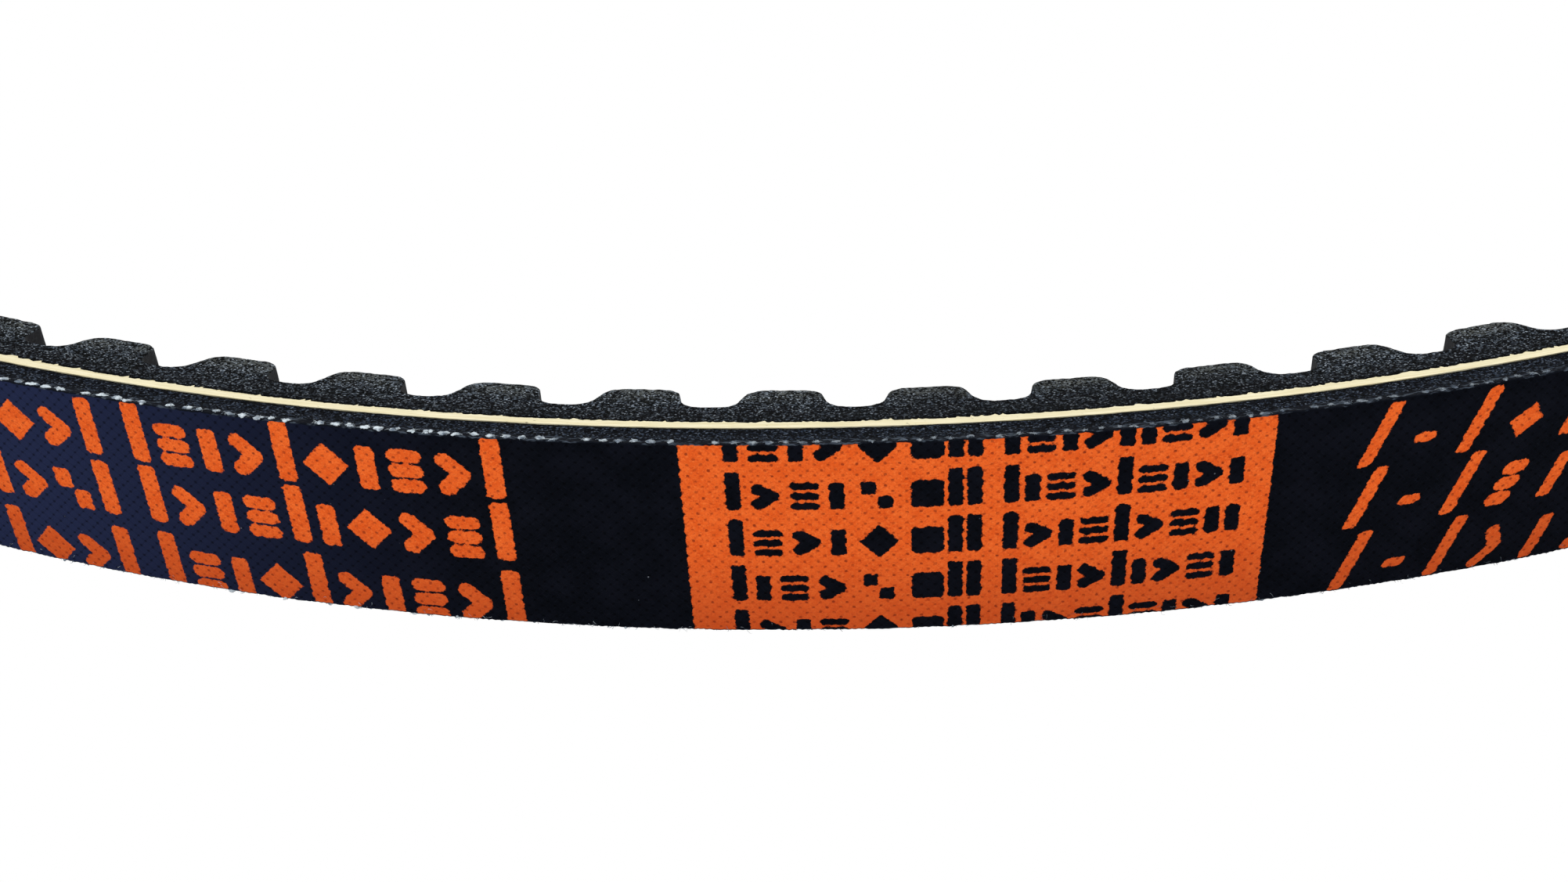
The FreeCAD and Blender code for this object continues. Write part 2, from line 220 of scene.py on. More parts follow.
def mark_field(mark, s, z):
    sign, s0, s1, z0, z1, stroke, _ = mark
    top = z0 + (z1 - z0) * 0.72         # every mark but the tall bar ends here
    half, s_mid, z_mid = stroke / 2, (s0 + s1) / 2, (z0 + top) / 2
    if sign == "|":
        return box_field(s, z, s0, s1, z0, z1, corner=stroke * 0.25)
    if sign == "i":
        return box_field(s, z, s0, s1, z0, top, corner=stroke * 0.25)
    if sign == ">":
        points = [(s0 + half, z0 + half), (s1 - half, z_mid), (s0 + half, top - half)]
        return line_field(s, z, points, half * 0.92)
    if sign == "=":
        thin = (top - z0) * 0.145
        dashes = [line_field(s, z, [(s0 + thin, level), (s1 - thin, level)], thin)
                  for level in (z0 + thin, z_mid, top - thin)]
        return np.minimum.reduce(dashes)
    if sign == "*":
        return (np.abs(s - s_mid) + np.abs(z - z_mid) * 0.9 - (s1 - s0) * 0.58) / 1.35
    if sign == "%":
        upper = box_field(s, z, s0, s_mid, z_mid + 0.04, top, corner=stroke * 0.18)
        lower = box_field(s, z, s_mid, s1, z0, z_mid - 0.04, corner=stroke * 0.18)
        return np.minimum(upper, lower)
    if sign == "-":
        inset = half * 0.8
        return line_field(s, z, [(s0 + inset, z_mid), (s1 - inset, z_mid)], inset)
    return box_field(s, z, s0, s1, z0, top, corner=stroke * 0.35)


def marks_field(s, z, marks):
    out = np.full(np.shape(s), FAR)
    for mark in marks:
        upright = s - mark.lean * (z - mark.z0)
        near = ((upright > mark.s0 - MARK_REACH) & (upright < mark.s1 + MARK_REACH)
                & (z > mark.z0 - MARK_REACH) & (z < mark.z1 + MARK_REACH))
        if near.any():
            out[near] = np.minimum(out[near], mark_field(mark, upright[near], z[near]))
    return out


def row_marks(signs, s0, s1, z0, height, stroke, lean=0.0):
    """Marks of one row, spread evenly from s0 to s1."""
    total = sum(MARK_WIDTH[sign] for sign in signs) * stroke
    gap = (s1 - s0 - total) / max(1, len(signs) - 1)
    marks, s = [], s0
    for sign in signs:
        width = MARK_WIDTH[sign] * stroke
        marks.append(Mark(sign, s, s + width, z0, z0 + height, stroke, lean))
        s += width + gap
    return marks


# rows left of the label: z of the foot, short run, long run
LEFT_ROWS = [
    (2.45, "|*>|", "|=i>|*i=>|"),
    (-1.90, "|>%|", "|>i=|i*>=|"),
    (-6.70, "|*>|", "|=i*|>i=>|"),
]
# leaning rows right of the label: z of the foot, start, run
RIGHT_ROWS = [
    (2.2, 26.5, "|-|*i>="),
    (-2.0, 26.2, "|-|=i*>"),
    (-6.4, 25.9, "|-|>i=*"),
]
# start and end of the label's four columns, then its rows: z of the foot, runs
LABEL_COLUMNS = [(-6.95, -0.65), (0.15, 1.75), (2.75, 6.55), (7.60, 20.35)]
LABEL_ROWS = [
    (5.35, ("|=i>", "*", "#||", "|=i>|i=>i")),
    (2.12, ("|>=i", "%", "#||", "|i=>|=i>i")),
    (-1.08, ("|=>i", "*", "#||", "|>i=|>=ii")),
    (-4.28, ("|i=>", "%", "#||", "|=i>|i>=i")),
    (-7.48, ("|>i=", "*", "#||", "|i>=|=i>i")),
]

side_marks, label_marks = [], []
for foot, short_run, long_run in LEFT_ROWS:
    side_marks += row_marks(long_run, -40.2, -18.7, foot, height=4.0, stroke=1.0)
    side_marks += row_marks(short_run, -50.4, -42.2, foot, height=3.8, stroke=1.0)
for foot, start, run in RIGHT_ROWS:
    side_marks += row_marks(run, start, start + 18.5, foot, height=4.0, stroke=0.72, lean=0.36)
for foot, runs in LABEL_ROWS:
    for run, (start, end) in zip(runs, LABEL_COLUMNS):
        label_marks += row_marks(run, start, end, foot, height=2.60, stroke=0.86)


def print_field(s, z):
    """Signed distance to the orange ink; the label's marks are left bare."""
    s = (s + PRINT_PERIOD / 2) % PRINT_PERIOD - PRINT_PERIOD / 2
    label = box_field(s, z, -9.2, 21.8, -9.0, 9.0, corner=0.1)
    label = np.maximum(label, -marks_field(s, z, label_marks))
    return np.minimum(label, marks_field(s, z, side_marks))


# ---------------------------------------------------------------- arcs
SPAN = 22.5                             # degrees that a CAD span covers
SEAM = degrees(0.005 / BACK_R)          # the ends that meet at the rear stay 0.01 mm apart

# Names of the three bends of a run in turn; only a middle bend is treated apart, by reach().
BEND_ORDER = ("first", "middle", "last")

# A middle bend reaches under its neighbours: distances past its end, and how
# far the reach lies below the neighbour's surface.
TONGUE = np.array([0.01, 0.10, 0.20, 0.32, 0.45, 0.65, 0.90, 1.15, 1.40, 1.60, 1.75])
TONGUE_INSET = 0.05


class Arc(NamedTuple):
    """A stretch of the loop; start, end and hinge are in degrees."""
    name: str
    bodies: tuple
    start: float
    end: float
    fine: bool = False
    hinge: float = None
    side: int = 1           # 1 on the right, -1 on the left
    bend: str = None

    def choose(self, pair):
        return pair[0] if self.fine else pair[1]


def arc_between(name, bodies, one_end, other_end, **rest):
    return Arc(name, bodies, min(one_end, other_end), max(one_end, other_end), **rest)


def side_arcs(side_name, side):
    """Arcs of one side, from the front span to the rear seam."""

    def angle(spans):
        return 270.0 + side * SPAN * spans

    arcs = []
    for number in range(1, 7):
        before = "front_span" if number == 1 else f"{side_name}_{number - 1}_span"
        bodies = (before, f"{side_name}_{number}_span")
        if number == 4:
            arcs.append(arc_between(f"{side_name}_middle", (before,), angle(3.5), angle(4.5)))
        place = number if number < 4 else number + 1
        start, hinge, end = angle(place - 0.5), angle(place), angle(place + 0.5)
        name = f"flex_{side_name}_{number}"
        bend = dict(hinge=hinge, side=side, bend=BEND_ORDER[(number - 1) % 3])
        if number == 1:
            # the half beside the front span is finer, because it is seen close to
            arcs.append(arc_between(name + "_near", bodies, start, hinge, fine=True, **bend))
            arcs.append(arc_between(name + "_far", bodies, hinge, end, **bend))
        else:
            arcs.append(arc_between(name, bodies, start, end, **bend))
    arcs.append(arc_between(f"{side_name}_end", (f"{side_name}_6_span",),
                            angle(7.5), angle(8) - side * SEAM))
    return arcs


ARCS = [
    Arc("front_left", ("front_span",), 270.0 - SPAN / 2, 270.0, fine=True),
    Arc("front_right", ("front_span",), 270.0, 270.0 + SPAN / 2, fine=True),
    *side_arcs("right", 1),
    *side_arcs("left", -1),
]


def reach(arc, angles):
    """Angles with any reach added, and how far each column is inset."""
    inset = np.zeros(len(angles))
    if arc.bend == "middle":
        low = TONGUE_INSET * smooth(TONGUE / 0.45)
        angles = np.concatenate([angles[0] - TONGUE[::-1] / BACK_R, angles,
                                 angles[-1] + TONGUE / BACK_R])
        inset = np.concatenate([low[::-1], inset, low])
    return angles, inset


def columns(arc, step, radius):
    """Even column angles of an arc, and how far each column is inset."""
    a, b = radians(arc.start), radians(arc.end)
    count = max(2, int(round((b - a) * radius / step)) + 1)
    return reach(arc, np.linspace(a, b, count))


def attach(obj, arc, layer):
    """Tie a one-span piece to its span, bake a bend in place, and hide the CAD nodes it stands
    for.
    """
    if arc.bend is None:
        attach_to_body(obj, arc.bodies[0])
    else:
        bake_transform(obj)
    if layer:
        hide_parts(*(f"{layer}_{body.removesuffix('_span')}" for body in arc.bodies))


# ---------------------------------------------------------------- mesh helpers
def link_object(name, data):
    obj = bpy.data.objects.new(name, data)
    bpy.context.scene.collection.objects.link(obj)
    return obj


def points(theta, depth, z):
    """Places in metres."""
    radius = (BACK_R - depth) * MM
    return np.stack([radius * np.cos(theta), radius * np.sin(theta), z * MM], -1).reshape(-1, 3)


def belt_coordinates(theta, depth, z):
    return np.stack([(theta - FRONT) * BACK_R, z, depth], -1).reshape(-1, 3)


def sweep(angles, depth, z):
    """Repeat one section at every angle: grids of theta, depth, z, arc length."""
    theta = np.repeat(angles[:, None], len(depth), 1)
    depth = np.repeat(np.array(depth)[None, :], len(angles), 0)
    z = np.repeat(np.array(z)[None, :], len(angles), 0)
    return theta, depth, z, (theta - FRONT) * BACK_R


def tube_faces(column_count, row_count, base=0):
    """Quads and two end caps of columns of closed sections."""
    i = np.arange(column_count - 1)[:, None] * row_count
    j = np.arange(row_count)[None, :]
    after = (j + 1) % row_count
    quads = np.stack([i + j, i + row_count + j, i + row_count + after, i + after], -1)
    ring = np.arange(row_count)
    last = (column_count - 1) * row_count
    return base + quads.reshape(-1, 4), [base + ring, base + last + ring[::-1]]


def inside_out(low, high, volume):
    """True for the faces of the closed parts that are wound inwards.  The
    vertices of a part follow each other, so parts are disjoint index ranges;
    low and high are each face's lowest and highest vertex."""
    order = np.argsort(low, kind="stable")
    highest = np.maximum.accumulate(high[order])
    part = np.empty(len(order), np.int64)
    part[order] = np.concatenate([[0], np.cumsum(low[order][1:] > highest[:-1])])
    return np.bincount(part, weights=volume)[part] < 0


def six_volumes(verts, a, b, c):
    return np.einsum("ij,ij->i", verts[a], np.cross(verts[b], verts[c]))


def wound_outwards(verts, quads, caps):
    """The same faces with every closed part's faces turned outwards."""
    low = np.concatenate([quads.min(1), [cap.min() for cap in caps]]).astype(np.int64)
    high = np.concatenate([quads.max(1), [cap.max() for cap in caps]]).astype(np.int64)
    a, b, c, d = quads.T
    quad_volumes = six_volumes(verts, a, b, c) + six_volumes(verts, a, c, d)
    cap_volumes = [six_volumes(verts, np.full(len(cap) - 2, cap[0]), cap[1:-1], cap[2:]).sum()
                   for cap in caps]
    turn = inside_out(low, high, np.concatenate([quad_volumes, cap_volumes]))
    count = len(quads)
    quads = np.where(turn[:count, None], quads[:, ::-1], quads)
    return quads, [cap[::-1] if flip else cap for cap, flip in zip(caps, turn[count:])]


def add_attribute(mesh, name, values):
    values = np.asarray(values, np.float32)
    kind, field = ("FLOAT_VECTOR", "vector") if values.ndim == 2 else ("FLOAT", "value")
    attribute = mesh.attributes.new(name, kind, "POINT")
    attribute.data.foreach_set(field, values.ravel())


def shade_smooth(mesh):
    for polygon in mesh.polygons:
        polygon.use_smooth = True


def make_object(name, verts, quads, caps, attributes, sharp_angle):
    """verts are in metres; attributes maps a name to per-vertex values."""
    quads, caps = wound_outwards(verts, quads, caps)
    loops = np.concatenate([quads.reshape(-1), *caps]).astype(np.int32)
    totals = np.array([4] * len(quads) + [len(cap) for cap in caps], np.int32)
    starts = np.concatenate([[0], np.cumsum(totals)[:-1]]).astype(np.int32)
    mesh = bpy.data.meshes.new(name)
    mesh.vertices.add(len(verts))
    mesh.vertices.foreach_set("co", verts.astype(np.float32).ravel())
    mesh.loops.add(len(loops))
    mesh.loops.foreach_set("vertex_index", loops)
    mesh.polygons.add(len(starts))
    mesh.polygons.foreach_set("loop_start", starts)
    mesh.polygons.foreach_set("loop_total", totals)
    mesh.update(calc_edges=True)
    mesh.validate()
    for key, values in attributes.items():
        add_attribute(mesh, key, values)
    shade_smooth(mesh)
    mesh.set_sharp_from_angle(angle=radians(sharp_angle))
    return link_object(name, mesh)


def grid_solid(name, theta, depth, z, sharp_angle, **extra):
    """A closed solid; the grids run along the belt on axis 0 and round a
    closed section on axis 1."""
    quads, caps = tube_faces(*depth.shape)
    attributes = {"belt": belt_coordinates(theta, depth, z)}
    attributes.update({key: values.reshape(-1) for key, values in extra.items()})
    return make_object(name, points(theta, depth, z), quads, caps, attributes, sharp_angle)


# ---------------------------------------------------------------- back fabric
def edge_wander(s, side):
    """How far the cut edge of the fabric strays outwards, with a tooth per yarn."""
    wander = 0.045 * fractal_noise(s / 0.8, side * 3.0, 0, seed=41)
    wander = wander + 0.03 * fractal_noise(s / 0.27, side * 3.0, 0, seed=43)
    tooth = s / (YARN * sqrt(2) / 2) + 0.3 * value_noise(s / 2.1, side, 0, seed=47)
    saw = np.abs(tooth % 1.0 - 0.5) * 2
    uneven = 0.7 + 0.5 * value_noise(s / 1.1, side * 2.0, 0, seed=48)
    return wander + 0.055 * (saw - 0.5) * uneven


def build_cover(arc):
    angles, inset = columns(arc, arc.choose(COVER_STEP), BACK_R)
    face_rows = int(round(WIDTH / arc.choose(COVER_ROW))) + 1
    # section: back face, upper edge, hidden inner face, lower edge
    edge = [(0.03, HALF - 0.04), (0.10, HALF - 0.01)]
    edge += [(d, half_width(d)) for d in (0.24, 0.38, 0.52, 0.66, FABRIC)]
    inner_z = np.linspace(half_width(FABRIC), -half_width(FABRIC), 7)[1:-1]
    section_depth = ([0.0] * face_rows + [d for d, _ in edge] + [FABRIC] * 5
                     + [d for d, _ in edge[::-1]])
    section_z = [*np.linspace(-HALF + 0.10, HALF - 0.10, face_rows), *(z for _, z in edge),
                 *inner_z, *(-z for _, z in edge[::-1])]
    theta, depth, z, s = sweep(angles, section_depth, section_z)
    face = np.zeros(depth.shape)
    face[:, :face_rows] = 1.0

    # the back face carries the weave and rolls over slightly at its edges
    off_edge = smooth((HALF - np.abs(z)) / 0.5)
    lift = (weave(s, z) - 0.55) * arc.choose(WEAVE_RELIEF) * (0.35 + 0.65 * off_edge)
    lift = lift + 0.020 * fractal_noise(s / 6.0, z / 2.2, 0, seed=31)
    sag = 0.05 * (1 - smooth((HALF - np.abs(z)) / 1.1))
    depth = depth + (sag - lift) * face

    near_edge = smooth((np.abs(z) - (HALF - 0.6)) / 0.6)
    hidden = (np.abs(depth - FABRIC) < 1e-6) & (face < 0.5)
    wander = edge_wander(s, np.sign(z))
    z = z + np.sign(z) * wander * near_edge * np.where(hidden, 0.0, 1.0)

    depth = depth + inset[:, None] * face
    z = z - np.sign(z) * inset[:, None]
    return grid_solid("cover_" + arc.name, theta, depth, z, sharp_angle=50.0,
                      ink=print_field(s, z), weave=weave(s, z), face=face)


# ---------------------------------------------------------------- tension rubber
def flank_noise(s, depth, side, fine):
    """Raw cut surface, in mm out of the flank."""
    rough = 0.030 * fractal_noise(s / 0.9, depth / 0.5, side * 5.0, seed=61)
    rough = rough + 0.022 * fractal_noise(s / 0.25, depth / 0.22, side * 5.0, seed=63)
    return rough if fine else rough * 0.8


def build_tension(arc):
    """Rubber between the fabric and the cords."""
    angles, inset = columns(arc, arc.choose(TENSION_STEP), BACK_R)
    rows = arc.choose(TENSION_ROWS)
    flank_depth = np.linspace(FABRIC, GUM_TOP, rows)
    flank_z = half_width(flank_depth)
    low_z = np.linspace(half_width(GUM_TOP), -half_width(GUM_TOP), 7)[1:-1]
    top_z = np.linspace(-half_width(FABRIC), half_width(FABRIC), 7)[1:-1]
    section_depth = [*flank_depth, *[GUM_TOP] * 5, *flank_depth[::-1], *[FABRIC] * 5]
    section_z = [*flank_z, *low_z, *-flank_z[::-1], *top_z]
    flank = np.array([1.0] * rows + [0.0] * 5 + [1.0] * rows + [0.0] * 5)
    theta, depth, z, s = sweep(angles, section_depth, section_z)
    side = np.sign(z)
    out = flank_noise(s, depth, side, arc.fine)
    # a shallow hollow between the fabric edge and the cord
    t = (depth - FABRIC) / (GUM_TOP - FABRIC)
    out = out - 0.05 * np.sin(np.clip(t, 0, 1) * pi) - 0.05 * smooth((t - 0.86) / 0.14)
    z = z + side * (out - inset[:, None]) * flank[None, :]
    return grid_solid("tension_" + arc.name, theta, depth[:, ::-1], z[:, ::-1], sharp_angle=60.0)


# ---------------------------------------------------------------- cords
def whole_strand(angles, step, middle_z):
    """Round strand inside the belt, with columns about 1.2 mm apart."""
    skip = max(1, len(angles) // max(2, int(len(angles) * step / 1.2)))
    angles = np.unique(np.append(angles[::skip], angles[-1]))
    around = np.linspace(0, 2 * pi, 8, endpoint=False)
    theta, depth, z, _ = sweep(angles, CORD_DEPTH + 0.49 * np.cos(around),
                               middle_z + 0.49 * np.sin(around))
    return theta, depth, z, np.zeros_like(depth)


def cut_strand(angles, inset, rows, side):
    """Strand that the flank cuts open: raw face outside, half round inside."""
    t = np.linspace(0, 1, rows)
    s = (angles[:, None] - FRONT) * BACK_R
    # ragged towards the cogs, straighter towards the back
    top = GUM_TOP + 0.03 + 0.035 * fractal_noise(s / 1.3, 2.0, side, seed=71)
    spike = np.clip(value_noise(s / 0.19, 8.0, side, seed=74), 0, 1) ** 1.5
    spiky = 0.35 + 0.65 * smooth(0.5 + value_noise(s / 1.7, 1.0, side, seed=77))
    bottom = (GUM_LOW - 0.10 + 0.08 * fractal_noise(s / 1.1, 4.0, side, seed=73)
              + 0.30 * spike * spiky + 0.03 * value_noise(s / 0.11, 3.0, side, seed=78))
    raw_depth = top + (bottom - top) * t[None, :]
    bulge = 0.045 * np.sin(t * pi)[None, :] ** 0.5
    fibres = 0.012 * value_noise(s / 1.6, raw_depth / 0.07, side, seed=75)
    raw_z = side * (half_width(raw_depth) + 0.004 + bulge + fibres)

    around = pi * np.linspace(0, 1, 7)[1:-1]
    theta, round_depth, round_z, _ = sweep(
        angles, CORD_DEPTH + 0.46 * np.cos(around),
        side * (half_width(CORD_DEPTH) - 0.05 - 0.46 * np.sin(around)))
    depth = np.concatenate([raw_depth, round_depth], 1)
    z = np.concatenate([raw_z, round_z], 1) - side * inset[:, None]
    raw = np.concatenate([np.ones(raw_depth.shape), np.zeros(round_depth.shape)], 1)
    theta = np.repeat(theta[:, :1], depth.shape[1], 1)
    if side > 0:
        depth, z, raw = depth[:, ::-1], z[:, ::-1], raw[:, ::-1]
    return theta, depth, z, raw


def build_cords(arc):
    """Seven whole strands and two cut ones, in one mesh."""
    step = arc.choose(CORD_STEP)
    angles, inset = columns(arc, step, CORD_R)
    strands = [cut_strand(angles, inset, arc.choose(CUT_CORD_ROWS), -1)]
    for n in range(-WHOLE_CORDS_PER_SIDE, WHOLE_CORDS_PER_SIDE + 1):
        strands.append(whole_strand(angles, step, n * CORD_SPACING))
    strands.append(cut_strand(angles, inset, arc.choose(CUT_CORD_ROWS), 1))

    verts, quads, caps, belts, raws = [], [], [], [], []
    base = 0
    for theta, depth, z, raw in strands:
        strand_quads, strand_caps = tube_faces(*depth.shape, base)
        verts.append(points(theta, depth, z))
        quads.append(strand_quads)
        caps += strand_caps
        belts.append(belt_coordinates(theta, depth, z))
        raws.append(raw.reshape(-1))
        base += depth.size
    attributes = {"belt": np.concatenate(belts), "raw": np.concatenate(raws)}
    return make_object("cords_" + arc.name, np.concatenate(verts), np.concatenate(quads), caps,
                       attributes, sharp_angle=70.0)


# ---------------------------------------------------------------- cogged rubber
NOTCH_WALL = radians(11.8)      # lean of a notch's walls
NOTCH_HALF = 1.38               # half width of a notch where its walls meet its floor
NOTCH_FILLET = 1.3              # radius at the floor
CREST_ROUND = 1.1               # radius at the crest
CUT_CORNER = 0.10               # bevel between flank and inner face


def notch_profile(step):
    """(angle, depth) samples over one pitch, centred on a notch."""
    turn = pi / 2 - NOTCH_WALL
    tangent = tan(turn / 2)
    floor_end = NOTCH_HALF - NOTCH_FILLET * tangent
    mouth = NOTCH_HALF + (CREST - NOTCH_FLOOR) * tan(NOTCH_WALL)
    crest_start = mouth + CREST_ROUND * tangent

    def crest_point(q):
        return crest_start - CREST_ROUND * sin(q), CREST - CREST_ROUND * (1 - cos(q))

    bend_steps = np.linspace(0, 1, 14)[1:]
    profile = [(t * floor_end, NOTCH_FLOOR) for t in np.linspace(0, 1, 20)]
    for t in bend_steps:
        q = t * turn
        profile.append((floor_end + NOTCH_FILLET * sin(q),
                        NOTCH_FLOOR + NOTCH_FILLET * (1 - cos(q))))
    (y0, d0), (y1, d1) = profile[-1], crest_point(turn)
    profile += [(y0 + (y1 - y0) * t, d0 + (d1 - d0) * t) for t in bend_steps]
    profile += [crest_point(turn * (1 - t)) for t in bend_steps]

    angles = [atan2(y, BACK_R - d) for y, d in profile]
    depths = [d for _, d in profile]
    rounded_end, half_pitch = angles[-1], radians(180.0 / COGS)
    for t in np.linspace(0, 1, 20)[1:]:
        angles.append(rounded_end + (half_pitch - rounded_end) * t)
        depths.append(CREST)

    # space the samples evenly, measuring arcs at a depth of 8 mm
    runs = np.hypot(np.diff(angles) * (BACK_R - 8), np.diff(depths))
    path = np.concatenate([[0], np.cumsum(runs)])
    count = max(8, int(round(path[-1] / step)))
    even = np.linspace(0, path[-1], count + 1)
    angles, depths = np.interp(even, path, angles), np.interp(even, path, depths)
    return (np.concatenate([-angles[::-1], angles[1:]]),
            np.concatenate([depths[::-1], depths[1:]]))


def cog_columns(arc, step):
    """Column angles that follow the cogs, their depths and their insets."""
    notch_angles, notch_depths = notch_profile(step)
    a, b = radians(arc.start), radians(arc.end)
    notches = range(int(floor(a / COG_PITCH)) - 2, int(ceil(b / COG_PITCH)) + 3)
    all_angles = np.concatenate([k * COG_PITCH + notch_angles[:-1] for k in notches])
    all_depths = np.concatenate([notch_depths[:-1] for _ in notches])
    keep = (all_angles > a + 1e-7) & (all_angles < b - 1e-7)
    angles, inset = reach(arc, np.concatenate([[a], all_angles[keep], [b]]))
    return angles, np.interp(angles, all_angles, all_depths), inset


def near_inner(depth, inner_depth):
    """Rises to 1 over the last 0.6 mm before the inner face."""
    return smooth((depth - (inner_depth - 0.6)) / 0.6)


def build_cogs(arc):
    angles, inner_depth, inset = cog_columns(arc, arc.choose(COG_STEP))
    rows, inner_rows, hidden_rows = arc.choose(COG_FLANK_ROWS), arc.choose(COG_INNER_ROWS), 5
    inner_depth, inset = inner_depth[:, None], inset[:, None]
    flank_depth = (GUM_LOW + (inner_depth - CUT_CORNER - GUM_LOW)
                   * np.linspace(0, 1, rows)[None, :])
    # section: upper flank, inner face, lower flank, hidden outer face
    depth = np.concatenate([flank_depth, np.repeat(inner_depth, inner_rows, 1),
                            flank_depth[:, ::-1],
                            np.full((len(angles), hidden_rows), GUM_LOW)], 1)
    hidden_half = half_width(GUM_LOW)
    hidden_z = np.linspace(-hidden_half, hidden_half, hidden_rows + 2)[None, 1:-1]
    inner_z = (half_width(inner_depth) - CUT_CORNER) * np.linspace(1, -1, inner_rows)[None, :]
    z = np.concatenate([half_width(flank_depth), inner_z, -half_width(flank_depth[:, ::-1]),
                        np.repeat(hidden_z, len(angles), 0)], 1)
    part = np.array(["flank"] * rows + ["inner"] * inner_rows + ["flank"] * rows
                    + ["hidden"] * hidden_rows)[None, :]
    flank, inner = part == "flank", part == "inner"
    theta = np.repeat(angles[:, None], depth.shape[1], 1)
    s = (theta - FRONT) * BACK_R
    side = np.sign(z + 1e-9)

    out = flank_noise(s, depth, side, arc.fine)
    out = out - 0.06 * (1 - smooth((depth - GUM_LOW) / 0.30))
    z = z + np.where(flank, side * out, 0.0)

    # moulded inner face: slight waviness; the cut corner is a little ragged
    wave = (0.030 * fractal_noise(s / 1.7, z / 1.9, 3.0, seed=81)
            + 0.018 * fractal_noise(s / 0.35, z / 0.4, 3.0, seed=83))
    corner = smooth((np.abs(z) - (half_width(inner_depth) - 0.6)) / 0.6)
    chips = 0.050 * fractal_noise(s / 0.30, side * 9.0, depth / 0.4, seed=85) * corner
    depth = depth + np.where(inner, wave + chips, 0.0) * 0.8
    depth = depth + np.where(flank, (chips * 0.8) * near_inner(depth, inner_depth), 0.0)

    flank_inset = np.where(flank, inset * near_inner(depth, inner_depth), 0.0)
    depth = depth - np.where(inner, inset, 0.0) - flank_inset
    z = z - np.where(flank | inner, side * inset, 0.0)
    inner_flag = np.repeat(inner[:, ::-1], len(angles), 0).astype(float)
    return grid_solid("cogs_" + arc.name, theta, depth[:, ::-1], z[:, ::-1], sharp_angle=48.0,
                      inner=inner_flag)


# ---------------------------------------------------------------- yarn ends
TUFT_PITCH = 0.86 / BACK_R      # radians between tufts


def icosphere(level):
    bm = bmesh.new()
    bmesh.ops.create_icosphere(bm, subdivisions=level, radius=1.0)
    verts = np.array([vert.co[:] for vert in bm.verts])
    faces = np.array([[vert.index for vert in face.verts] for face in bm.faces])
    bm.free()
    return verts, faces


LUMP_BALLS = (icosphere(2), icosphere(1))       # fine, coarse


class TriangleSoup:
    """Collects closed parts given as three coordinate arrays and triangles."""

    def __init__(self):
        self.parts = []
        self.faces = []
        self.count = 0

    def add(self, coordinates, faces):
        self.parts.append(coordinates)
        self.faces.append(faces + self.count)
        self.count += len(coordinates[0])

    def joined(self):
        coordinates = tuple(np.concatenate(axis) for axis in zip(*self.parts))
        return coordinates, np.concatenate(self.faces)


def fibre(x, y, height, radius, angle):
    """Three-sided thread through the given path."""
    rings = []
    for corner in range(3):
        g = 2 * pi * corner / 3
        rings.append((x - radius * cos(g) * sin(angle), y + radius * cos(g) * cos(angle),
                      height + radius * sin(g)))
    coordinates = tuple(np.stack(axis, 1).ravel() for axis in zip(*rings))
    faces = []
    for i in range(len(x) - 1):
        for corner in range(3):
            a, b = i * 3 + corner, i * 3 + (corner + 1) % 3
            faces += [(a, a + 3, b), (b, a + 3, b + 3)]
    last = 3 * (len(x) - 1)
    faces += [(0, 1, 2), (last, last + 2, last + 1)]
    return coordinates, np.array(faces)


def curl_path(t, length, angle, curl):
    return t * length * np.cos(angle + curl * t), t * length * np.sin(angle + curl * t)


def build_tuft(arc, k, side, rng, theta):
    """One frayed tuft as arrays along the belt, down its depth and outwards."""
    u = rng.random(12)
    if u[0] < 0.10:
        return None
    # tufts shrink towards the right
    s = (theta - FRONT) * BACK_R
    small = 1.0 - 0.36 * float(smooth((s + 26.0) / 30.0))
    length = (0.15 + 0.10 * u[1]) * (0.35 + 0.65 * small)
    tall = (0.12 + 0.08 * u[2]) * small
    out = (0.085 + 0.05 * u[3]) * small
    tilt = (0.30 + 0.5 * u[4]) * (1 if k % 2 == 0 else -1)
    middle = 0.22 + 0.20 * u[5]
    ball, ball_faces = arc.choose(LUMP_BALLS)
    tuft = TriangleSoup()
    for lump in range(arc.choose((4, 2))):
        w = rng.random(6)
        swell = 1 + 0.40 * value_noise(ball[:, 0] * 1.9 + k + 5 * lump, ball[:, 1] * 1.9,
                                       ball[:, 2] * 1.9 + side, seed=91)
        x, y, z = (ball * swell[:, None]).T
        size = 0.55 + 0.5 * w[0]
        shift_x = (w[1] - 0.5) * 1.5 * length
        shift_y = (w[2] - 0.5) * 1.9 * tall
        twist = tilt + (w[3] - 0.5) * 1.6
        along = (shift_x * cos(tilt) - shift_y * sin(tilt)
                 + size * (x * length * cos(twist) - y * tall * sin(twist)))
        depth = (middle + shift_x * sin(tilt) + shift_y * cos(tilt)
                 + size * (x * length * sin(twist) + y * tall * cos(twist)))
        height = size * z * out + 0.03 * w[4]
        tuft.add((along, np.maximum(depth, -0.03), height), ball_faces)
    t = np.linspace(0, 1, 4)
    for _ in range(rng.integers(*arc.choose(((8, 14), (1, 3))))):
        w = rng.random(8)
        angle = tilt + (w[0] - 0.5) * 2.6 + (pi if w[1] < 0.5 else 0)
        dx, dy = curl_path(t, 0.10 + 0.22 * w[2], angle, curl=(w[3] - 0.5) * 1.6)
        x = (w[4] - 0.5) * length * 2.0 + dx
        y = np.clip(middle + (w[5] - 0.5) * tall * 2.0 + dy, -0.05, 1.00)
        height = 0.02 + 0.05 * np.sin(t * pi * (0.6 + 0.4 * w[6])) + 0.03 * w[7]
        tuft.add(*fibre(x, y, height, 0.017 * (1 - 0.45 * t), angle))
    return tuft.joined()


